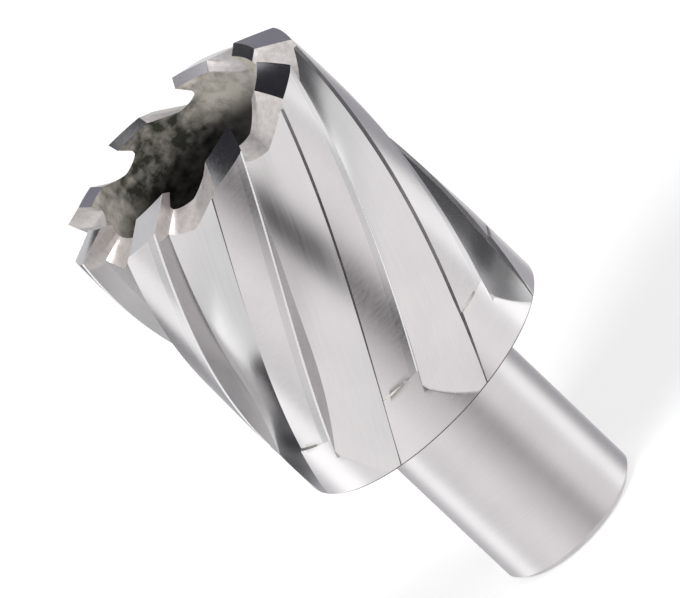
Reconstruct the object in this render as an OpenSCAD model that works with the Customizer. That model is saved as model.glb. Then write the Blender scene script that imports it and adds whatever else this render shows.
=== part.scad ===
// Annular cutter with a side-lock shank, standing on its shank end with the teeth up.
// Millimetres, +Z along the axis from the shank end to the teeth, front at -Y.

/* [Shank] */
// Shank diameter
shank_d = 19.05; // [16:0.05:22]
// Shank length from its end to the head
shank_l = 25; // [22:0.5:40]
// Chamfer at the shank end
shank_chamfer = 0.8; // [0.3:0.1:1.2]
// Depth of each clamping flat under the shank surface
flat_depth = 1.2; // [0.8:0.1:2.4]
// Length of each clamping flat along the shank
flat_l = 14; // [8:0.5:15]
// Distance from the shank end to the clamping flats
flat_end = 5; // [3:0.5:6]

/* [Head] */
// Cutting diameter
cut_d = 35; // [32:0.5:44]
// Head length from its back face to the outer tooth corners
head_l = 40; // [34:0.5:60]
// Wall between the cutting diameter and the cup
wall = 5; // [4.5:0.1:5.5]
// Thickness of the solid web behind the cup
web = 7.5; // [6:0.5:10]
// Pilot hole diameter
pilot_d = 6.4; // [5:0.1:8]

/* [Flutes] */
// Number of teeth and flutes
teeth = 8; // [7:1:9]
// Helix advance along the axis in one full turn
lead = 200; // [160:5:260]
// Share of each tooth pitch taken by the flute
flute_share = 0.6; // [0.54:0.01:0.62]
// Depth of the flute beside the cutting wall
flute_depth = 2.2; // [1.8:0.1:2.4]
// Slant of the cutting wall away from the radius
wall_slant = 20; // [10:1:28]
// Depth of the flute beside the heel of the next land
heel_depth = 0.4; // [0.2:0.05:0.6]
// Height above the back face where the cutting wall runs out
runout_h = 5.5; // [3:0.5:7]
// Width of the full-diameter margin behind each cutting edge
margin_w = 1.2; // [0.6:0.1:1.6]
// Relief of the land at its heel
land_relief = 0.25; // [0.1:0.05:0.35]
// Height of the unrelieved collar above the back face
collar_h = 7.5; // [6:0.5:10]

/* [Teeth] */
// Angle of the first cutting corner from the front
first_corner = 14.5; // [0:0.5:44]
// Distance of the tooth crest inside the cutting radius
crest_in = 3.8; // [3:0.1:4]
// Height of the tooth crest above the outer corner
crest_h = 1.8; // [1:0.1:2.5]
// Relief angle behind the cutting edge
relief_deg = 11; // [6:0.5:14]
// Slope of the bevel from the crest to the cup
bevel_deg = 35; // [20:1:45]
// Depth of the gullet at the cup, under the outer corner
gullet_in = 1.5; // [0.8:0.05:2]
// Depth of the gullet at the flute floor, under the outer corner
gullet_out = 3.1; // [2.4:0.1:4]
// Share of each tooth pitch between the cutting edge and the heel of the tooth ahead
gullet_share = 0.655; // [0.64:0.005:0.7]

/* [Hidden] */
$fn = 96;
shank_r = shank_d / 2;
cut_r = cut_d / 2;
cup_r = cut_r - wall;
bore_r = pilot_d / 2;
crest_r = cut_r - crest_in;
floor_r = cut_r - flute_depth;
pitch = 360 / teeth;
turn = 360 / lead;
cup_z = shank_l + web;
top_z = shank_l + head_l + crest_h;
heel_a = pitch * flute_share;
gullet_a = pitch * gullet_share;
arc_deg = 180 / PI;
wall_run = tan(wall_slant);
margin_a = pitch - margin_w / cut_r * arc_deg;
// Hollow of the flute floor under a line of even depth
hollow = 0.6;
// Run-out arc that lifts the flute out at the back face
runout_k = runout_h / (sqrt(flute_depth + 3.97 * hollow) - sqrt(flute_depth));
runout_top = runout_h + runout_k * sqrt(flute_depth);
// Lowest line of the gullet, as an angle ahead of the cutting edge
valley_a = 0.35 * pitch;
// Height above the back face under which no gullet reaches
shoulder_h = head_l - 6;

// Depth of the flute beside the cutting wall at a height h above the back face
function wall_depth(h) = flute_depth - pow(max(0, runout_top - h) / runout_k, 2);

// Relief of the land at its heel, which ends at the collar
function relief(h) = h > collar_h ? land_relief : 0;

// Depth of the flute beside the heel
function heel(h) = heel_depth * min(1, 0.03 + h / runout_h) + relief(h);

// Angle of the cutting wall ahead of the cutting edge at a depth d, and the depth at an angle a
function wall_a(d) = atan2(d * wall_run, cut_r - d);
function wall_d(a) = cut_r * tan(a) / (wall_run + tan(a));

// Depth of the flute floor at a share t of its width
function floor_depth(t, h) =
    wall_depth(h) * (1 - t) + heel(h) * t + hollow * 4 * t * (1 - t);

// Share of the floor width where the floor comes up to the cutting diameter in the run-out
function runout_t(h) =
    let (d = wall_depth(h), b = heel(h) - d + 4 * hollow)
    d >= 0 ? 0 : (b - sqrt(b * b + 16 * hollow * d)) / (8 * hollow);

function floor_a(t, h) = let (a = wall_a(max(0, wall_depth(h)))) a + (heel_a - a) * t;

// Points of one pitch of the outer surface at a height h, as angle ahead of the cutting edge and radius
function wall_points(h) =
    let (a = floor_a(runout_t(h), h))
    [for (f = [0, 0.1, 0.4, 0.7]) [a * f, cut_r - (wall_depth(h) > 0 ? wall_d(a * f) : 0)]];

function floor_points(h) =
    let (t0 = runout_t(h))
    [for (i = [0:7]) let (t = t0 + (1 - t0) * i / 7) [floor_a(t, h), cut_r - floor_depth(t, h)]];

function land_points(h) =
    let (a = heel_a + 0.3 * heel_depth / cut_r * arc_deg)
    [for (f = [0, 0.09, 0.36, 0.68, 1]) [a + (margin_a - a) * f, cut_r - relief(h) * (1 - f)]];

function outer_points(h) = concat(wall_points(h), floor_points(h), land_points(h));

// Value at a radius r that runs through given values at the cup and at the flute floor
function across(at_cup, at_floor, r) = at_cup + (at_floor - at_cup) * (r - cup_r) / (floor_r - cup_r);

// Height of the tooth facet over the outer corner, at an angle a behind the cutting edge
function facet_z(a, r) =
    (r > crest_r ? crest_h * (cut_r - r) / crest_in : crest_h - (crest_r - r) * tan(bevel_deg))
    - tan(relief_deg) * a / arc_deg * r;

// Height of the gullet over the outer corner, at an angle a ahead of the cutting edge
function gullet_z(a, r) =
    let (low = -across(gullet_in, gullet_out, r),
         u = a / valley_a,
         v = (a - valley_a) / (gullet_a - valley_a))
    u < 1 ? low + across(1.6, 3.5, r) * (1 - sqrt(1 - pow(0.95 * (1 - u), 2)))
          : low + (facet_z(pitch - gullet_a, r) - low) * pow(v, 1.3);

function end_z(a, r) =
    a == 0 ? facet_z(0, r) :
    a < gullet_a ? gullet_z(a, r) : facet_z(pitch - a, r);

// Share of the cutting wall's slant that a line inward over the teeth follows
function lean(a) =
    a == 0 ? 1 :
    a < gullet_a ? 0.6 - 0.2 * a / gullet_a : 0.4 + 0.6 * (a - gullet_a) / (pitch - gullet_a);

function place(a, r, h) =
    let (b = a + first_corner + turn * (h - head_l) - 90)
    [r * cos(b), r * sin(b), shank_l + h];

function side_h(m) =
    m < 3 ? collar_h * m / 3 :
    m == 3 ? collar_h - 0.02 : collar_h + 0.02 + (shoulder_h - collar_h) * (m - 4) / 16;

// Point of the head in column i of one pitch, in row m up the outer surface and then in over the teeth
function head_point(i, m) =
    let (edge = outer_points(head_l)[i], edge_h = head_l + end_z(edge[0], edge[1]))
    m <= 20 ? let (h = side_h(m), q = outer_points(h)[i]) [q[0], q[1], h] :
    m <= 23 ? let (h = side_h(20) + (edge_h - side_h(20)) * (m - 20) / 3) [edge[0], edge[1], h] :
    let (r = [crest_r, cup_r - 1.5][m - 24])
    [edge[0] + lean(edge[0]) * (wall_a(cut_r - r) - wall_a(cut_r - edge[1])), r, head_l + end_z(edge[0], r)];

module head() {
    n = len(outer_points(0));
    columns = n * teeth;
    rows = 26;
    points = [for (m = [0:rows - 1], k = [0:teeth - 1], i = [0:n - 1])
        let (q = head_point(i, m)) place(q[0] + k * pitch, q[1], q[2])];
    sides = [for (m = [0:rows - 2], j = [0:columns - 1])
        let (a = m * columns + j, b = m * columns + (j + 1) % columns)
        each [[a, a + columns, b + columns], [a, b + columns, b]]];
    bottom = [[for (j = [0:columns - 1]) j]];
    middle = [for (j = [0:columns - 1])
        [(rows - 1) * columns + j, rows * columns, (rows - 1) * columns + (j + 1) % columns]];
    polyhedron(concat(points, [[0, 0, shank_l + head_l - 2]]), concat(bottom, sides, middle), convexity = 10);
}

// Shank with its end chamfer, reaching into the head, its seam line to the front
module shank() {
    rotate([0, 0, -90])
    rotate_extrude()
    polygon([
        [0, 0], [shank_r - shank_chamfer, 0], [shank_r, shank_chamfer],
        [shank_r, shank_l + 2], [0, shank_l + 2]
    ]);
}

// Cup behind the teeth, with a bevelled floor edge
module cup() {
    rotate_extrude()
    polygon([
        [0, cup_z], [cup_r - 1.2, cup_z], [cup_r, cup_z + 1.2],
        [cup_r, top_z + 1], [0, top_z + 1]
    ]);
}

// Pilot hole through shank and web, with both mouths broken
module pilot_hole() {
    rotate_extrude()
    polygon([
        [0, -0.4], [bore_r + 1, -0.4], [bore_r, 0.6],
        [bore_r, cup_z - 0.6], [bore_r + 1, cup_z + 0.4], [0, cup_z + 0.4]
    ]);
}

module clamping_flat() {
    translate([shank_r - flat_depth, -shank_r, flat_end]) cube([shank_r, shank_d, flat_l]);
}

module annular_cutter() {
    color([0.78, 0.78, 0.8])
    difference() {
        union() {
            shank();
            head();
        }
        cup();
        pilot_hole();
        for (a = [45, 135]) rotate([0, 0, a]) clamping_flat();
    }
}

annular_cutter();
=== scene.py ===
import math

import bmesh
import bpy
from mathutils import Matrix, Vector
from mathutils.geometry import delaunay_2d_cdt


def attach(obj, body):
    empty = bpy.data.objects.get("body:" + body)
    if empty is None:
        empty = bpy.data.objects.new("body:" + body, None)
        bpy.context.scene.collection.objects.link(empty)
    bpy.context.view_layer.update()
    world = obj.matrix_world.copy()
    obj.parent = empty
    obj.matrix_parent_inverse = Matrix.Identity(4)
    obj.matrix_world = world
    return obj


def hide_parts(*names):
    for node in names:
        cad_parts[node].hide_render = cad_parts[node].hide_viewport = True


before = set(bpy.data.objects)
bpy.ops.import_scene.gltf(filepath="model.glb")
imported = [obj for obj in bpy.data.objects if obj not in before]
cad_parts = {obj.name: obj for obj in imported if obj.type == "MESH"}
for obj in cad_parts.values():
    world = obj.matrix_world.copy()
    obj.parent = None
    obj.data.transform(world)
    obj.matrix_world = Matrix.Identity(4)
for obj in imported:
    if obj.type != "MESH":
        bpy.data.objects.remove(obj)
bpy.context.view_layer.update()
scene = bpy.context.scene
print("frame loaded")

mm, metre = 0.001, 1000  # a millimetre in metres, a metre in millimetres
tiny = 1e-6  # room for rounding

# sizes of the tool in millimetres and degrees, as in the solid, with the small breaks and blends of the scene
cutterSizes = {
    "shankD": 19.05, "shankL": 25.0, "shankChamfer": 0.8,
    "flatDepth": 1.2, "flatL": 14.0, "flatEnd": 5.0, "flatAngles": (45.0, 135.0),
    "cutD": 35.0, "headL": 40.0, "wall": 5.0, "web": 7.5, "pilotD": 6.4, "cupBevel": 1.2, "mouthBreak": 0.6,
    "teeth": 8, "lead": 200.0, "fluteShare": 0.6, "fluteDepth": 2.2, "wallSlant": 20.0, "hollow": 0.6,
    "heelDepth": 0.4, "heelStart": 0.03, "heelRun": 0.4, "runoutH": 5.5, "runoutReach": 3.97,
    "marginW": 1.2, "landRelief": 0.25, "collarH": 7.5, "collarBlend": 0.25, "collarFade": 4.0, "stepShare": 0.7,
    "edgeBreak": 0.1, "edgeFade": 0.5, "edgeW": 0.24, "backBreak": 0.2, "sharpDeg": 24.0,
    "firstCorner": 14.5, "crestIn": 3.8, "crestH": 1.8, "reliefDeg": 11.0, "bevelDeg": 35.0, "shoulder": 6.0,
    "gulletIn": 1.5, "gulletOut": 3.1, "gulletShare": 0.655, "valleyShare": 0.35,
    "gulletArc": (1.6, 3.5), "gulletBend": 0.95, "gulletRise": 1.3,  # arc at the cup and at the flute floor
    "gulletLean": (0.6, 0.2), "toothLean": (0.4, 0.6),  # where it starts and by how much it falls or rises
}
# faces along one tooth pitch, up the head, down the cup and the bore, and round and along the shank
cutterGrid = {
    "wall": 9, "wallStarts": (0.06, 0.1), "floor": 24, "land": 14, "margin": 3,
    "collar": 9, "step": 4, "flute": 40, "tip": 12, "facet": 9, "bevel": 4,
    "rimDepth": 3.0, "cup": 14, "webRings": (8.5, 6.0), "bore": 6,
    "shankDeg": 2, "shankRings": (2.5, 22.0), "flat": 6,
    "joinGap": 2e-7, "meltGap": 1e-8, "cutGap": 1e-5,
}

# one zone for each finish, in the order of the finishes
zoneFlute, zoneWall, zoneLand, zoneMargin, zoneEdge, zoneHeel, zoneStep = range(7)
zoneTooth, zoneGullet, zoneCup, zoneWeb, zoneShank, zoneCollar = range(7, 13)

cutR = cutterSizes["cutD"] / 2
cupR = cutR - cutterSizes["wall"]
crestR = cutR - cutterSizes["crestIn"]
floorR = cutR - cutterSizes["fluteDepth"]
shankR = cutterSizes["shankD"] / 2
boreR = cutterSizes["pilotD"] / 2
headL = cutterSizes["headL"]
shankL = cutterSizes["shankL"]
cupZ = shankL + cutterSizes["web"]
pitch = 360 / cutterSizes["teeth"]
turn = 360 / cutterSizes["lead"]
heelA = pitch * cutterSizes["fluteShare"]
gulletA = pitch * cutterSizes["gulletShare"]
valleyA = pitch * cutterSizes["valleyShare"]
marginA = pitch - math.degrees(cutterSizes["marginW"] / cutR)
landA = heelA + math.degrees(cutterSizes["heelRun"] * cutterSizes["heelDepth"] / cutR)
wallRun = math.tan(math.radians(cutterSizes["wallSlant"]))
runoutReach = cutterSizes["fluteDepth"] + cutterSizes["runoutReach"] * cutterSizes["hollow"]
runoutK = cutterSizes["runoutH"] / (math.sqrt(runoutReach) - math.sqrt(cutterSizes["fluteDepth"]))
runoutTop = cutterSizes["runoutH"] + runoutK * math.sqrt(cutterSizes["fluteDepth"])


def smoothStep(share):
    share = min(1, max(0, share))
    return share * share * (3 - 2 * share)


def polar(r, angle, z):
    return Vector((r * math.cos(angle), r * math.sin(angle), z)) * mm


# depth of the flute beside the cutting wall at height h, under nought where the wall has run out
def wallDepth(h):
    return cutterSizes["fluteDepth"] - (max(0, runoutTop - h) / runoutK) ** 2


# the relief of the land sets in over a short step, that of the flute floor over a long one
def relief(h, blend="collarBlend"):
    return cutterSizes["landRelief"] * smoothStep(0.5 + (h - cutterSizes["collarH"]) / cutterSizes[blend])


def heel(h):
    rise = min(1, cutterSizes["heelStart"] + h / cutterSizes["runoutH"])
    return cutterSizes["heelDepth"] * rise + relief(h, "collarFade")


def edgeBreak(h):
    return cutterSizes["edgeBreak"] * min(1, max(0, wallDepth(h)) / cutterSizes["edgeFade"])


# angle of the cutting wall at a depth, and its depth at an angle
def wallA(d):
    return math.degrees(math.atan2(d * wallRun, cutR - d))


def wallD(a):
    t = math.tan(math.radians(a))
    return cutR * t / (wallRun + t)


# share of the floor where it comes up to the cutting diameter in the run-out
def runoutT(h):
    d, hollow = wallDepth(h), cutterSizes["hollow"]
    b = heel(h) - d + 4 * hollow
    return 0 if d >= 0 else (b - math.sqrt(max(0, b * b + 16 * hollow * d))) / (8 * hollow)


def floorA(t, h):
    a = wallA(max(0, wallDepth(h)))
    return a + (heelA - a) * t


def floorDepth(t, h):
    return wallDepth(h) * (1 - t) + heel(h) * t + cutterSizes["hollow"] * 4 * t * (1 - t)


def wallShares():
    n, (broken, start) = cutterGrid["wall"], cutterGrid["wallStarts"]
    return [0, broken] + [start + (1 - start) * i / n for i in range(n)]


def landShares():
    first = (gulletA - landA) / (marginA - landA)
    n = cutterGrid["land"]
    return [0, first / 2] + [first + (1 - first) * i / n for i in range(n + 1)]


# one pitch of the outside at height h: angle ahead of the cutting edge, radius, zone of the face that follows
def outerPoints(h):
    t0, out = runoutT(h), []
    a = floorA(t0, h)
    for f in wallShares():
        depth = max(edgeBreak(h), wallD(a * f)) if wallDepth(h) > 0 else 0
        out.append((a * f, cutR - depth, zoneWall))
    n = cutterGrid["floor"]
    for i in range(n + 1):
        t = t0 + (1 - t0) * i / n
        # the face after the last floor column is the heel step, which gets the painted heel shade
        out.append((floorA(t, h), cutR - floorDepth(t, h), zoneFlute if i < n else zoneHeel))
    shares = landShares()
    for i, f in enumerate(shares):
        zone = zoneLand if i < len(shares) - 1 else zoneMargin
        out.append((landA + (marginA - landA) * f, cutR - relief(h) * (1 - f), zone))
    for i in range(1, cutterGrid["margin"]):
        out.append((marginA + (pitch - marginA) * i / cutterGrid["margin"], cutR, zoneMargin))
    # the narrow strip before the cutting edge, where the edge highlight is painted
    out.append((pitch - math.degrees(cutterSizes["edgeW"] / cutR), cutR, zoneEdge))
    return out


def across(atCup, atFloor, r):
    return atCup + (atFloor - atCup) * (r - cupR) / (floorR - cupR)


# height of the tooth over the outer corner: facet outside the crest, bevel inside it, relief behind the edge
def facetZ(a, r):
    crestH = cutterSizes["crestH"]
    if r > crestR:
        up = crestH * (cutR - r) / cutterSizes["crestIn"]
    else:
        up = crestH - (crestR - r) * math.tan(math.radians(cutterSizes["bevelDeg"]))
    return up - math.tan(math.radians(cutterSizes["reliefDeg"])) * math.radians(a) * r


def gulletZ(a, r):
    low = -across(cutterSizes["gulletIn"], cutterSizes["gulletOut"], r)
    if a < valleyA:
        bend = cutterSizes["gulletBend"] * (1 - a / valleyA)
        return low + across(*cutterSizes["gulletArc"], r) * (1 - math.sqrt(1 - bend ** 2))
    v = (a - valleyA) / (gulletA - valleyA)
    return low + (facetZ(pitch - gulletA, r) - low) * v ** cutterSizes["gulletRise"]


def endZ(a, r):
    if a == 0:
        return facetZ(0, r)
    return gulletZ(a, r) if a < gulletA - tiny else facetZ(pitch - a, r)


# share of the wall's slant that a line inward over the tooth follows
def lean(a):
    if a == 0:
        return 1
    if a < gulletA:
        start, fall = cutterSizes["gulletLean"]
        return start - fall * a / gulletA
    start, rise = cutterSizes["toothLean"]
    return start + rise * (a - gulletA) / (pitch - gulletA)


def place(a, r, h):
    return polar(r, math.radians(a + cutterSizes["firstCorner"] + turn * (h - headL) - 90), shankL + h)


# zone of the face below height h: painted shade at the back edge, turned under the step of the land, dull in the step
def zoneAt(zone, a, h):
    up, half = h - cutterSizes["collarH"], cutterSizes["collarBlend"] / 2
    if h <= cutterSizes["backBreak"]:
        return zoneHeel
    if zone == zoneWall and wallDepth(h) <= 0:
        return zoneCollar
    if zone in (zoneLand, zoneMargin, zoneEdge) and up < tiny - half:
        return zoneCollar
    if zone == zoneLand and a < landA + cutterSizes["stepShare"] * (marginA - landA) and up < half + tiny:
        return zoneStep
    return zone


def sideHeights():
    grid, blend, collarH = cutterGrid, cutterSizes["collarBlend"], cutterSizes["collarH"]
    first, last = collarH + blend / 2, headL - cutterSizes["shoulder"]
    heights = [0, cutterSizes["backBreak"]]
    heights += [(collarH - blend / 2) * i / grid["collar"] for i in range(1, grid["collar"])]
    heights += [collarH + blend * (i / grid["step"] - 0.5) for i in range(grid["step"])]
    return heights + [first + (last - first) * i / grid["flute"] for i in range(grid["flute"] + 1)]


# the columns of one pitch from the back edge up and in over the tooth to the rim of the cup
def sectorColumns():
    heights = sideHeights()
    last, tips, facets, bevels = heights[-1], cutterGrid["tip"], cutterGrid["facet"], cutterGrid["bevel"]
    rows = [outerPoints(h) for h in heights]
    ends = outerPoints(headL)
    columns = []
    for i, (a, edgeR, zone) in enumerate(ends):
        column = [(place(row[i][0], row[i][1], h), zoneAt(zone, a, h)) for row, h in zip(rows, heights)]
        column[0] = (place(rows[0][i][0], rows[0][i][1] - cutterSizes["backBreak"], 0), zone)
        rise = headL + endZ(a, edgeR) - last
        column += [(place(a, edgeR, last + rise * k / tips), zone) for k in range(1, tips + 1)]
        radii = [edgeR + (crestR - edgeR) * k / facets for k in range(1, facets + 1)]
        radii += [crestR + (cupR - crestR) * k / bevels for k in range(1, bevels + 1)]
        zone = zoneGullet if a < gulletA - tiny else zoneTooth
        for r in radii:
            b = a + lean(a) * (wallA(cutR - r) - wallA(cutR - edgeR))
            column.append((place(b, r, headL + endZ(a, r)), zone))
        columns.append(column)
    # the sector starts at the bottom of a gullet, so that the whole tooth lies inside it
    step = Matrix.Rotation(math.radians(pitch), 3, "Z")
    valley = min(range(len(ends)), key=lambda i: abs(ends[i][0] - valleyA))
    turned = [[(step @ p, z) for p, z in column] for column in columns[:valley + 1]]
    return columns[valley:] + turned


# cup wall under the rim, unrolled flat and cut into triangles, down to an even row of points
def addCupRim(bm, layer, rim, lowZ):
    angles = [math.atan2(p.y, p.x) for p in rim]
    for i in range(1, len(angles)):
        angles[i] += math.tau * round((angles[i - 1] - angles[i]) / math.tau)
    first, n = angles[0], len(rim) - 1
    even = [first + math.radians(pitch) * i / n for i in range(n + 1)]
    flat = [Vector((a * cupR, p.z * metre)) for a, p in zip(angles, rim)]
    flat += [Vector((a * cupR, lowZ)) for a in reversed(even)]
    cut = delaunay_2d_cdt(flat, [], [list(range(len(flat)))], 1, cutterGrid["cutGap"])
    points, faces = cut[0], cut[2]
    made = [bm.verts.new(polar(cupR, q.x / cupR, q.y)) for q in points]
    for face in faces:
        bm.faces.new([made[k] for k in face])[layer] = zoneCup
    return even


def sectorMesh():
    columns = sectorColumns()
    bm = bmesh.new()
    layer = bm.faces.layers.int.new("zone")

    def addGrid(grid, zones):
        for i in range(len(grid) - 1):
            for k in range(len(grid[0]) - 1):
                face = bm.faces.new((grid[i][k], grid[i + 1][k], grid[i + 1][k + 1], grid[i][k + 1]))
                face[layer] = zones(i, k)

    addGrid([[bm.verts.new(p) for p, z in column] for column in columns], lambda i, k: columns[i][k + 1][1])
    lowZ = shankL + headL - cutterGrid["rimDepth"]
    even = addCupRim(bm, layer, [column[-1][0] for column in columns], lowZ)
    # radius and height down the cup, over the web and through the bore
    bevel, mouth = cutterSizes["cupBevel"], cutterSizes["mouthBreak"]
    cupRows, boreRows = cutterGrid["cup"], cutterGrid["bore"]
    inside = [(cupR, lowZ + (cupZ + bevel - lowZ) * k / cupRows) for k in range(cupRows + 1)]
    inside += [(r, cupZ) for r in (cupR - bevel, *cutterGrid["webRings"], boreR + mouth)]
    inside += [(boreR, cupZ - mouth - (cupZ - 2 * mouth) * k / boreRows) for k in range(boreRows + 1)]
    inside += [(boreR + mouth, 0)]
    addGrid([[bm.verts.new(polar(r, a, z)) for r, z in inside] for a in even],
            lambda i, k: zoneCup if k < cupRows else zoneWeb)
    mesh = bpy.data.meshes.new("toothSector")
    bm.to_mesh(mesh)
    bm.free()
    for steel in steels:
        mesh.materials.append(steel)
    return mesh


def setInput(modifier, tree, name, value):
    for item in tree.interface.items_tree:
        if item.item_type == "SOCKET" and item.in_out == "INPUT" and item.name == name:
            modifier[item.identifier] = value


def addNode(tree, kind, **values):
    node = tree.nodes.new(kind)
    for key, value in values.items():
        setattr(node, key, value)
    return node


# turns one tooth sector round the axis as often as there are teeth, joins the copies and gives each zone its finish
def toothRingTree(coats):
    tree = bpy.data.node_groups.new("toothRing", "GeometryNodeTree")
    tree.interface.new_socket("Geometry", in_out="INPUT", socket_type="NodeSocketGeometry")
    tree.interface.new_socket("Teeth", in_out="INPUT", socket_type="NodeSocketInt")
    tree.interface.new_socket("Joining gap", in_out="INPUT", socket_type="NodeSocketFloat")
    tree.interface.new_socket("Geometry", in_out="OUTPUT", socket_type="NodeSocketGeometry")
    link = tree.links.new
    start, end = addNode(tree, "NodeGroupInput"), addNode(tree, "NodeGroupOutput")
    line = addNode(tree, "GeometryNodeMeshLine")
    line.inputs["Offset"].default_value = (0, 0, 0)
    link(start.outputs["Teeth"], line.inputs["Count"])
    index = addNode(tree, "GeometryNodeInputIndex")
    share = addNode(tree, "ShaderNodeMath", operation="DIVIDE")
    share.inputs[0].default_value = math.tau
    link(start.outputs["Teeth"], share.inputs[1])
    angle = addNode(tree, "ShaderNodeMath", operation="MULTIPLY")
    link(index.outputs[0], angle.inputs[0])
    link(share.outputs[0], angle.inputs[1])
    vector = addNode(tree, "ShaderNodeCombineXYZ")
    link(angle.outputs[0], vector.inputs["Z"])
    rotation = addNode(tree, "FunctionNodeEulerToRotation")
    link(vector.outputs[0], rotation.inputs[0])
    copies = addNode(tree, "GeometryNodeInstanceOnPoints")
    link(line.outputs[0], copies.inputs["Points"])
    link(start.outputs["Geometry"], copies.inputs["Instance"])
    link(rotation.outputs[0], copies.inputs["Rotation"])
    real = addNode(tree, "GeometryNodeRealizeInstances")
    link(copies.outputs[0], real.inputs[0])
    weld = addNode(tree, "GeometryNodeMergeByDistance")
    link(real.outputs[0], weld.inputs["Geometry"])
    link(start.outputs["Joining gap"], weld.inputs["Distance"])
    zone = addNode(tree, "GeometryNodeInputNamedAttribute", data_type="INT")
    zone.inputs["Name"].default_value = "zone"
    flow = weld.outputs[0]
    for number, steel in enumerate(coats):
        same = addNode(tree, "FunctionNodeCompare", data_type="INT", operation="EQUAL")
        link(zone.outputs["Attribute"], same.inputs[2])
        same.inputs[3].default_value = number
        coat = addNode(tree, "GeometryNodeSetMaterial")
        coat.inputs["Material"].default_value = steel
        link(flow, coat.inputs["Geometry"])
        link(same.outputs[0], coat.inputs["Selection"])
        flow = coat.outputs[0]
    link(flow, end.inputs[0])
    return tree


# marks that every steel has unless its finish says otherwise, and how the fine marks and broad clouds are drawn
markDefaults = {"Twist": 0.0, "Across": 4000.0, "Along": 200.0, "Seed": 0.0, "Patch": 130.0}
markLook = {
    "Mark": {"detail": 4.0, "roughness": 0.62, "span": (0.3, 0.7)},
    "Cloud": {"detail": 3.0, "roughness": 0.5, "span": (0.32, 0.68)},
}


# grinding and turning marks: streaks that follow the helix (Twist) or rings round the axis (Along over Across)
def grindMarksGroup():
    group = bpy.data.node_groups.new("grindMarks", "ShaderNodeTree")
    for name, value in markDefaults.items():
        group.interface.new_socket(name, in_out="INPUT", socket_type="NodeSocketFloat").default_value = value
    for name in markLook:
        group.interface.new_socket(name, in_out="OUTPUT", socket_type="NodeSocketFloat")
    link = group.links.new
    start, end = addNode(group, "NodeGroupInput"), addNode(group, "NodeGroupOutput")
    where = addNode(group, "ShaderNodeTexCoord")
    part = addNode(group, "ShaderNodeSeparateXYZ")
    link(where.outputs["Object"], part.inputs[0])

    def calc(operation, a, b=None):
        node = addNode(group, "ShaderNodeMath", operation=operation)
        link(a, node.inputs[0])
        if b is not None:
            link(b, node.inputs[1])
        return node.outputs[0]

    def noise(name, vector):
        look = markLook[name]
        texture = addNode(group, "ShaderNodeTexNoise", noise_dimensions="4D")
        texture.inputs["Scale"].default_value = 1.0
        texture.inputs["Detail"].default_value = look["detail"]
        texture.inputs["Roughness"].default_value = look["roughness"]
        link(vector, texture.inputs["Vector"])
        link(start.outputs["Seed"], texture.inputs["W"])
        spread = addNode(group, "ShaderNodeMapRange")
        spread.inputs["From Min"].default_value, spread.inputs["From Max"].default_value = look["span"]
        link(texture.outputs[0], spread.inputs["Value"])
        link(spread.outputs[0], end.inputs[name])
        return texture

    x, y, z = part.outputs
    swing = calc("MULTIPLY", z, start.outputs["Twist"])
    c, s = calc("COSINE", swing), calc("SINE", swing)
    u = calc("ADD", calc("MULTIPLY", x, c), calc("MULTIPLY", y, s))
    v = calc("SUBTRACT", calc("MULTIPLY", y, c), calc("MULTIPLY", x, s))
    grain = addNode(group, "ShaderNodeCombineXYZ")
    link(calc("MULTIPLY", u, start.outputs["Across"]), grain.inputs[0])
    link(calc("MULTIPLY", v, start.outputs["Across"]), grain.inputs[1])
    link(calc("MULTIPLY", z, start.outputs["Along"]), grain.inputs[2])
    noise("Mark", grain.outputs[0])
    cloud = noise("Cloud", where.outputs["Object"])
    link(start.outputs["Patch"], cloud.inputs["Scale"])
    return group


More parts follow.
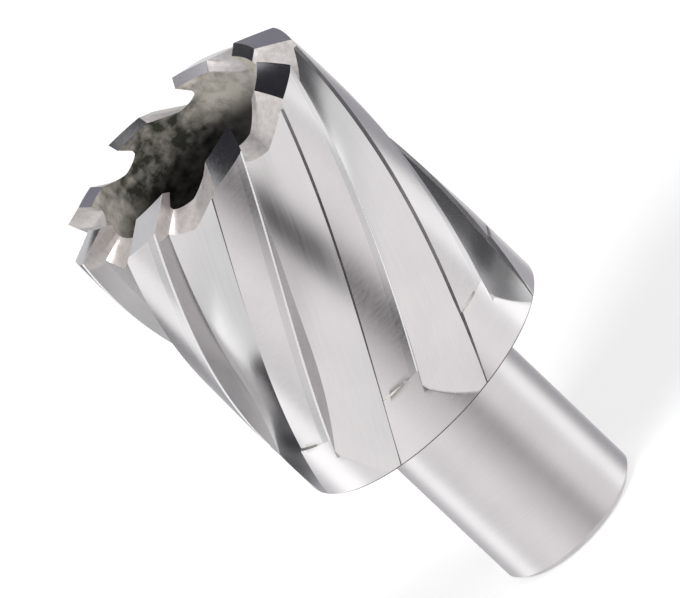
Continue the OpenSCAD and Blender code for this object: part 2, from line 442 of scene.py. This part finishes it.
helixTwist = 31.4  # radians a metre, as the flutes run
steelLook = {"metal": 1.0, "markShare": 0.45, "bumpDistance": 0.00005}
finishes = {
    "polishedFlute": {
        "dark": (0.72, 0.71, 0.72), "light": (0.81, 0.80, 0.80), "rough": (0.17, 0.20), "bump": 0.004,
        "Twist": helixTwist, "Across": 2600.0, "Along": 60.0, "Seed": 1.0},
    "groundWall": {
        "dark": (0.48, 0.475, 0.48), "light": (0.58, 0.57, 0.575), "rough": (0.20, 0.26), "bump": 0.005,
        "Twist": helixTwist, "Across": 900.0, "Along": 200.0, "Seed": 11.0},
    "groundLand": {
        "dark": (0.70, 0.68, 0.69), "light": (0.79, 0.77, 0.775), "rough": (0.22, 0.26), "bump": 0.005,
        "Twist": helixTwist, "Across": 900.0, "Along": 2600.0, "Seed": 2.0},
    "polishedMargin": {
        "dark": (0.60, 0.595, 0.605), "light": (0.69, 0.685, 0.69), "rough": (0.20, 0.26), "bump": 0.006,
        "Twist": helixTwist, "Across": 900.0, "Along": 2600.0, "Seed": 6.0},
    # a small real edge break, partly painted highlight: the narrow strip before the cutting edge is near white, for
    # the bright line along it
    "honedEdgeHighlight": {
        "dark": (0.93, 0.93, 0.93), "light": (0.97, 0.97, 0.97), "rough": (0.46, 0.54), "bump": 0.01,
        "Twist": helixTwist, "Across": 900.0, "Along": 900.0, "Seed": 7.0},
    # painted shade: near black for the narrow heel step and the back edge, where shade falls in the heel groove and
    # at the head's back edge
    "paintedHeelShade": {
        "dark": (0.09, 0.09, 0.095), "light": (0.17, 0.165, 0.17), "rough": (0.35, 0.45), "bump": 0.02,
        "Twist": helixTwist, "Across": 900.0, "Along": 900.0, "Seed": 9.0},
    "collarStep": {
        "dark": (0.27, 0.258, 0.24), "light": (0.35, 0.335, 0.312), "rough": (0.48, 0.56), "bump": 0.01,
        "Twist": helixTwist, "Across": 900.0, "Along": 900.0, "Seed": 10.0},
    "groundTooth": {
        "dark": (0.58, 0.57, 0.60), "light": (0.70, 0.69, 0.71), "rough": (0.11, 0.17), "bump": 0.015,
        "Across": 3200.0, "Along": 500.0, "Seed": 3.0},
    "groundGullet": {
        "dark": (0.42, 0.385, 0.37), "light": (0.78, 0.745, 0.73), "rough": (0.30, 0.40), "bump": 0.02,
        "Across": 1800.0, "Along": 500.0, "Seed": 8.0, "metal": 0.5},
    # the cup is darker with depth, painted shade in its deep recess, and lighter towards both sides, painted glints
    "turnedCup": {
        "dark": (0.07, 0.072, 0.058), "light": (0.95, 0.89, 0.80), "rough": (0.28, 0.46), "bump": 0.06,
        "Across": 420.0, "Along": 700.0, "Seed": 4.0, "Patch": 760.0, "metal": 0.4,
        "paintedDepthShade": {"ends": (0.0584, 0.0622), "low": 0.09, "high": 1.0},
        "side": {"ends": (0.0045, 0.0105), "low": -0.34, "high": 0.48, "shift": 0.0022}},
    "turnedWeb": {
        "dark": (0.34, 0.33, 0.31), "light": (0.52, 0.50, 0.47), "rough": (0.30, 0.42), "bump": 0.05,
        "Across": 600.0, "Along": 1500.0, "Seed": 12.0},
    "satinShank": {
        "dark": (0.71, 0.69, 0.695), "light": (0.80, 0.78, 0.785), "rough": (0.29, 0.35), "bump": 0.03,
        "Across": 120.0, "Along": 5200.0, "Seed": 5.0},
    "turnedCollar": {
        "dark": (0.78, 0.76, 0.765), "light": (0.87, 0.85, 0.855), "rough": (0.23, 0.28), "bump": 0.008,
        "Across": 120.0, "Along": 4200.0, "Seed": 13.0},
}


# value that runs from low to high between two distances along X or Z of the object, on both sides of the shift alike
def alongAxis(tree, axis, ends, low, high, shift=0.0):
    where = addNode(tree, "ShaderNodeTexCoord")
    part = addNode(tree, "ShaderNodeSeparateXYZ")
    tree.links.new(where.outputs["Object"], part.inputs[0])
    moved = addNode(tree, "ShaderNodeMath", operation="ADD")
    moved.inputs[1].default_value = shift
    tree.links.new(part.outputs[axis], moved.inputs[0])
    size = addNode(tree, "ShaderNodeMath", operation="ABSOLUTE")
    tree.links.new(moved.outputs[0], size.inputs[0])
    share = addNode(tree, "ShaderNodeMapRange", interpolation_type="SMOOTHSTEP")
    share.inputs["From Min"].default_value, share.inputs["From Max"].default_value = ends
    share.inputs["To Min"].default_value, share.inputs["To Max"].default_value = low, high
    tree.links.new(size.outputs[0], share.inputs["Value"])
    return share.outputs[0]


def steelMaterial(name, marks):
    look = finishes[name]
    material = bpy.data.materials.new(name)
    material.use_nodes = True
    tree = material.node_tree
    link = tree.links.new
    shader = tree.nodes["Principled BSDF"]
    shader.inputs["Metallic"].default_value = look.get("metal", steelLook["metal"])
    group = addNode(tree, "ShaderNodeGroup", node_tree=marks)
    for key, value in markDefaults.items():
        group.inputs[key].default_value = look.get(key, value)
    # tone between dark and light, from the fine marks and the broad clouds
    clouds = addNode(tree, "ShaderNodeMath", operation="MULTIPLY")
    clouds.inputs[1].default_value = 1 - steelLook["markShare"]
    link(group.outputs["Cloud"], clouds.inputs[0])
    blend = addNode(tree, "ShaderNodeMath", operation="MULTIPLY_ADD")
    blend.inputs[1].default_value = steelLook["markShare"]
    link(group.outputs["Mark"], blend.inputs[0])
    link(clouds.outputs[0], blend.inputs[2])
    level = blend.outputs[0]
    # painted glints: the tone is lifted towards both sides of the cup along X
    if "side" in look:
        paintedGlint = addNode(tree, "ShaderNodeMath", operation="ADD", use_clamp=True)
        link(level, paintedGlint.inputs[0])
        link(alongAxis(tree, "X", **look["side"]), paintedGlint.inputs[1])
        level = paintedGlint.outputs[0]
    tone = addNode(tree, "ShaderNodeMix", data_type="RGBA")
    tone.inputs[6].default_value = (*look["dark"], 1)
    tone.inputs[7].default_value = (*look["light"], 1)
    link(level, tone.inputs[0])
    colour = tone.outputs[2]
    # painted shade: the colour is scaled down towards the floor of the cup, where shade falls
    if "paintedDepthShade" in look:
        shade = addNode(tree, "ShaderNodeVectorMath", operation="SCALE")
        link(colour, shade.inputs[0])
        link(alongAxis(tree, "Z", **look["paintedDepthShade"]), shade.inputs["Scale"])
        colour = shade.outputs[0]
    link(colour, shader.inputs["Base Color"])
    rough = addNode(tree, "ShaderNodeMapRange")
    rough.inputs["To Min"].default_value, rough.inputs["To Max"].default_value = look["rough"]
    link(group.outputs["Mark"], rough.inputs["Value"])
    link(rough.outputs[0], shader.inputs["Roughness"])
    bump = addNode(tree, "ShaderNodeBump")
    bump.inputs["Strength"].default_value = look["bump"]
    bump.inputs["Distance"].default_value = steelLook["bumpDistance"]
    link(group.outputs["Mark"], bump.inputs["Height"])
    link(bump.outputs[0], shader.inputs["Normal"])
    return material


marks = grindMarksGroup()
steels = [steelMaterial(name, marks) for name in finishes]
print("finishes made")


# shank wall with its end chamfer and the clamping flats, open at both ends
def addShank(bm, slot):
    flatR = shankR - cutterSizes["flatDepth"]
    half = math.degrees(math.acos(flatR / shankR))
    middles = cutterSizes["flatAngles"]
    angles = {float(a) for a in range(0, 360, cutterGrid["shankDeg"])}
    for middle in middles:
        angles |= {middle - half, middle + half}
    angles = sorted(angles)

    def flatRadius(angle):
        cuts = [flatR / math.cos(math.radians(angle - m)) for m in middles if abs(angle - m) < half]
        return min([shankR] + cuts)

    plain, cut = [shankR] * len(angles), [flatRadius(angle) for angle in angles]
    chamfer, flatEnd, flatL = (cutterSizes[key] for key in ("shankChamfer", "flatEnd", "flatL"))
    (lowRing, highRing), rows = cutterGrid["shankRings"], cutterGrid["flat"]
    rings = [(0, [shankR - chamfer] * len(angles)), (chamfer, plain), (lowRing, plain), (flatEnd, plain)]
    rings += [(flatEnd + flatL * i / rows, cut) for i in range(rows + 1)]
    rings += [(flatEnd + flatL, plain), (highRing, plain), (shankL, plain)]
    grid = []
    for z, radii in rings:
        grid.append([bm.verts.new(polar(r, math.radians(angle), z)) for r, angle in zip(radii, angles)])
    n = len(angles)
    for low, high in zip(grid, grid[1:]):
        for i in range(n):
            bm.faces.new((low[i], low[(i + 1) % n], high[(i + 1) % n], high[i])).material_index = slot


# open edges at one height
def ringEdges(bm, z):
    return [e for e in bm.edges if e.is_boundary and all(abs(v.co.z - z) < tiny for v in e.verts)]


def buildCutter():
    sector = bpy.data.objects.new("toothSector", sectorMesh())
    scene.collection.objects.link(sector)
    tree = toothRingTree(steels)
    modifier = sector.modifiers.new("toothRing", "NODES")
    modifier.node_group = tree
    setInput(modifier, tree, "Teeth", cutterSizes["teeth"])
    setInput(modifier, tree, "Joining gap", cutterGrid["joinGap"])
    graph = bpy.context.evaluated_depsgraph_get()
    mesh = bpy.data.meshes.new_from_object(sector.evaluated_get(graph), depsgraph=graph)
    bpy.data.objects.remove(sector)
    mesh.name = "annularCutter"
    bm = bmesh.new()
    bm.from_mesh(mesh)
    satin = mesh.materials.find("satinShank")
    addShank(bm, satin)
    bmesh.ops.remove_doubles(bm, verts=bm.verts, dist=cutterGrid["joinGap"])
    for z in (shankL * mm, 0):  # the back face of the head and the shank end
        made = bmesh.ops.triangle_fill(bm, use_beauty=True, use_dissolve=False, edges=ringEdges(bm, z))
        for face in made["geom"]:
            if isinstance(face, bmesh.types.BMFace):
                face.material_index = satin
    bmesh.ops.dissolve_degenerate(bm, dist=cutterGrid["meltGap"], edges=bm.edges)
    bmesh.ops.recalc_face_normals(bm, faces=bm.faces)
    for face in bm.faces:
        face.smooth = True
    print("open edges", sum(1 for e in bm.edges if not e.is_manifold), "volume", bm.calc_volume() * metre ** 3)
    bm.to_mesh(mesh)
    bm.free()
    mesh.set_sharp_from_angle(angle=math.radians(cutterSizes["sharpDeg"]))
    cutter = bpy.data.objects.new("annularCutter", mesh)
    scene.collection.objects.link(cutter)
    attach(cutter, "root")
    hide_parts("annular_cutter")
    return cutter


cutter = buildCutter()
print("cutter built", len(cutter.data.polygons), "faces")

studio = {
    "floorTone": 0.62, "floorGlow": 0.42, "floorSize": 4.0, "floorZ": -0.00005,
    "worldFill": 0.55, "airTone": 0.8, "centreZ": 0.04,
    "cardRadius": 0.9, "cardStep": 0.02, "cardGrid": (28, 20),
    "lamps": (("keyLamp", (-0.9, -0.9, 1.5), 0.9, 22.0), ("fillLamp", (1.1, -0.5, 1.2), 0.9, 12.0)),
}
# cards round the tool: azimuth from the front towards +X, elevation, emitted tone, width of the soft edge as a share,
# and where there is one, the sideways lean in degrees over the height
cards = {
    "frontCard": {"azimuth": (-84, 80), "elevation": (-80, 45), "tone": (0.94, 0.915, 0.92), "soft": 0.2},
    "middleCard": {"azimuth": (-40, 40), "elevation": (-42, 0), "tone": (0.74, 0.72, 0.725), "soft": 0.4},
    "leftStrip": {"azimuth": (-128, -90), "elevation": (-55, -6), "tone": (1.34, 1.34, 1.34), "soft": 0.3},
    "rightStrip": {"azimuth": (78, 116), "elevation": (-55, -4), "tone": (1.34, 1.34, 1.34), "soft": 0.3},
    "leftBack": {"azimuth": (-178, -127), "elevation": (-60, 12), "tone": (0.60, 0.595, 0.62), "soft": 0.25},
    "rightBack": {"azimuth": (112, 162), "elevation": (-60, 12), "tone": (0.44, 0.43, 0.46), "soft": 0.25},
    "darkSlant": {"azimuth": (-21, 17), "elevation": (-44, 22), "tone": (0.01, 0.01, 0.012), "soft": 0.36,
                  "skew": -134},
    "leftDark": {"azimuth": (-162, -126), "elevation": (-20, 16), "tone": (0.02, 0.02, 0.025), "soft": 0.15},
    "rightDark": {"azimuth": (87, 136), "elevation": (-15, 12), "tone": (0.07, 0.07, 0.075), "soft": 0.2},
    "under": {"azimuth": (-180, 180), "elevation": (-89, -66), "tone": (0.48, 0.47, 0.48), "soft": 0.1},
    "topBack": {"azimuth": (108, 216), "elevation": (44, 88), "tone": (0.03, 0.03, 0.035), "soft": 0.12},
    "highBack": {"azimuth": (122, 186), "elevation": (4, 48), "tone": (0.28, 0.275, 0.31), "soft": 0.15},
    "lowBack": {"azimuth": (204, 238), "elevation": (8, 46), "tone": (0.03, 0.03, 0.035), "soft": 0.08,
                "skew": 40},
    "zenith": {"azimuth": (-150, 110), "elevation": (62, 89), "tone": (0.42, 0.41, 0.44), "soft": 0.2},
}


def emptyTree(owner):
    owner.use_nodes = True
    owner.node_tree.nodes.clear()
    return owner.node_tree


def cardMaterial(name, tone):
    material = bpy.data.materials.new(name)
    tree = emptyTree(material)
    out = addNode(tree, "ShaderNodeOutputMaterial")
    glow = addNode(tree, "ShaderNodeEmission")
    glow.inputs["Color"].default_value = (*tone, 1)
    clear = addNode(tree, "ShaderNodeBsdfTransparent")
    fade = addNode(tree, "ShaderNodeAttribute", attribute_name="fade")
    mix = addNode(tree, "ShaderNodeMixShader")
    tree.links.new(fade.outputs["Fac"], mix.inputs[0])
    tree.links.new(clear.outputs[0], mix.inputs[1])
    tree.links.new(glow.outputs[0], mix.inputs[2])
    tree.links.new(mix.outputs[0], out.inputs["Surface"])
    return material


# a patch of a sphere round the tool, its edges fading out
def addCard(name, card, radius):
    columns, rows = studio["cardGrid"]
    (left, right), (bottom, top) = card["azimuth"], card["elevation"]
    bm = bmesh.new()
    fade = bm.verts.layers.float.new("fade")
    grid = []
    for i in range(columns + 1):
        line = []
        for k in range(rows + 1):
            u, v = i / columns, k / rows
            a = math.radians(left + (right - left) * u + card.get("skew", 0) * (v - 0.5))
            e = math.radians(bottom + (top - bottom) * v)
            reach, z = radius * math.cos(e), studio["centreZ"] + radius * math.sin(e)
            p = bm.verts.new((reach * math.sin(a), -reach * math.cos(a), z))
            p[fade] = smoothStep(min(u, 1 - u, v, 1 - v) / card["soft"])
            line.append(p)
        grid.append(line)
    for i in range(columns):
        for k in range(rows):
            bm.faces.new((grid[i][k], grid[i + 1][k], grid[i + 1][k + 1], grid[i][k + 1]))
    mesh = bpy.data.meshes.new(name)
    bm.to_mesh(mesh)
    bm.free()
    mesh.materials.append(cardMaterial(name, card["tone"]))
    sheet = bpy.data.objects.new(name, mesh)
    scene.collection.objects.link(sheet)
    sheet.visible_camera = sheet.visible_shadow = sheet.visible_diffuse = False


# pale floor that keeps the shadow and is lit up to white for the camera alone
def addFloor():
    mesh = bpy.data.meshes.new("paleFloor")
    s, z = studio["floorSize"], studio["floorZ"]
    mesh.from_pydata([(-s, -s, z), (s, -s, z), (s, s, z), (-s, s, z)], [], [(0, 1, 2, 3)])
    floor = bpy.data.objects.new("paleFloor", mesh)
    scene.collection.objects.link(floor)
    floor.visible_glossy = False  # the metal sees the cards instead
    material = bpy.data.materials.new("paleFloor")
    tree = emptyTree(material)
    out = addNode(tree, "ShaderNodeOutputMaterial")
    matt = addNode(tree, "ShaderNodeBsdfDiffuse")
    matt.inputs["Color"].default_value = (studio["floorTone"],) * 3 + (1,)
    glow = addNode(tree, "ShaderNodeEmission")
    ray = addNode(tree, "ShaderNodeLightPath")
    level = addNode(tree, "ShaderNodeMath", operation="MULTIPLY")
    level.inputs[1].default_value = studio["floorGlow"]
    tree.links.new(ray.outputs["Is Camera Ray"], level.inputs[0])
    tree.links.new(level.outputs[0], glow.inputs["Strength"])
    both = addNode(tree, "ShaderNodeAddShader")
    tree.links.new(matt.outputs[0], both.inputs[0])
    tree.links.new(glow.outputs[0], both.inputs[1])
    tree.links.new(both.outputs[0], out.inputs["Surface"])
    mesh.materials.append(material)


# air that is seen and mirrored at full strength and lights the tool more softly
def addWorld():
    world = bpy.data.worlds.new("studioAir")
    scene.world = world
    tree = emptyTree(world)
    out = addNode(tree, "ShaderNodeOutputWorld")
    fill = addNode(tree, "ShaderNodeBackground")
    fill.inputs["Color"].default_value = (studio["airTone"],) * 3 + (1,)
    ray = addNode(tree, "ShaderNodeLightPath")
    seen = ray.outputs["Is Camera Ray"]
    for kind in ("Is Glossy Ray", "Is Transmission Ray"):
        either = addNode(tree, "ShaderNodeMath", operation="MAXIMUM")
        tree.links.new(seen, either.inputs[0])
        tree.links.new(ray.outputs[kind], either.inputs[1])
        seen = either.outputs[0]
    level = addNode(tree, "ShaderNodeMapRange")
    level.inputs["To Min"].default_value = studio["worldFill"]
    level.inputs["To Max"].default_value = 1.0
    tree.links.new(seen, level.inputs["Value"])
    tree.links.new(level.outputs[0], fill.inputs["Strength"])
    tree.links.new(fill.outputs[0], out.inputs["Surface"])


def addLamps():
    centre = Vector((0, 0, studio["centreZ"]))
    for name, where, size, power in studio["lamps"]:
        lamp = bpy.data.lights.new(name, "AREA")
        lamp.shape, lamp.size, lamp.energy = "DISK", size, power
        holder = bpy.data.objects.new(name, lamp)
        scene.collection.objects.link(holder)
        holder.location = where
        holder.rotation_euler = (centre - Vector(where)).to_track_quat("-Z", "Y").to_euler()
        holder.visible_camera = False


addFloor()
for i, (name, card) in enumerate(cards.items()):
    addCard(name, card, studio["cardRadius"] - studio["cardStep"] * i)  # later cards hang nearer
addWorld()
addLamps()
print("studio built")

photoView = {
    "distance": 1.1, "elevation": 20.0, "roll": -46.5, "aimZ": 0.0385,
    "lens": 517.0, "sensor": 36.0, "clipStart": 0.01,
}


def addCamera():
    data = bpy.data.cameras.new("photoCamera")
    data.lens, data.sensor_width, data.clip_start = (photoView[key] for key in ("lens", "sensor", "clipStart"))
    camera = bpy.data.objects.new("photoCamera", data)
    scene.collection.objects.link(camera)
    e = math.radians(photoView["elevation"])
    aim = Vector((0, 0, photoView["aimZ"]))
    back = Vector((0, -math.cos(e), math.sin(e)))
    camera.location = aim + back * photoView["distance"]
    camera.rotation_mode = "QUATERNION"
    roll = Matrix.Rotation(math.radians(photoView["roll"]), 4, "Z").to_quaternion()
    camera.rotation_quaternion = (-back).to_track_quat("-Z", "Y") @ roll
    scene.camera = camera


addCamera()
scene.view_settings.view_transform = "Standard"
print("camera set")
